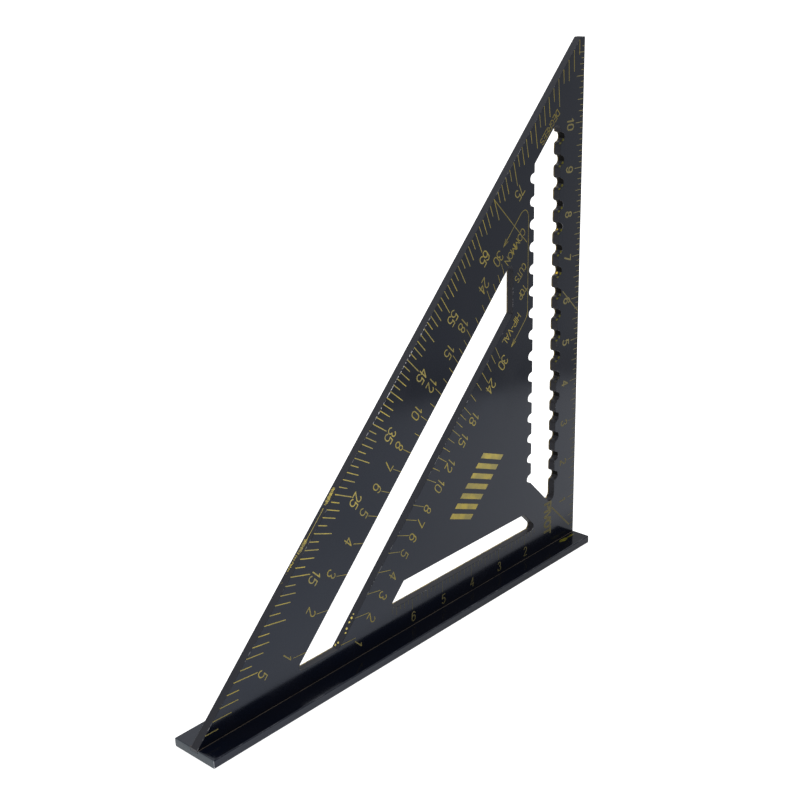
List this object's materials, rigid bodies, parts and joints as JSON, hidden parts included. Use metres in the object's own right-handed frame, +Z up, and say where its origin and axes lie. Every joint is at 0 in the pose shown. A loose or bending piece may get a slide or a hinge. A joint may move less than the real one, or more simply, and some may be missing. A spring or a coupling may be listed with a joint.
{
  "type": "speed square",
  "caption": "Triangular rafter square: a slotted blade with notched edges for scribing, standing in the groove of a flat fence with a lip on both sides.",
  "frame": {"origin": "middle of the fence's underside, on the surface that the square stands on", "axes": "+Z up, square to the fence; X along the fence with the square corner at +X; Y through the blade's thickness, with the scale face looking along -Y"},
  "size_m": [0.304, 0.0286, 0.305],
  "materials": {
    "blade_finish": "black anodised, semi-gloss",
    "fence_finish": "black anodised, semi-gloss",
    "screw_finish": "black oxide, satin",
    "scale_marks": "dull gold marking"
  },
  "bodies": {
    "root": {"blade": "blade_finish", "fence": "fence_finish", "fence_screw_1": "screw_finish", "fence_screw_2": "screw_finish", "fence_screw_3": "screw_finish", "fence_screw_4": "screw_finish", "fence_screw_5": "screw_finish", "fence_screw_6": "screw_finish"}
  },
  "joints": []
}
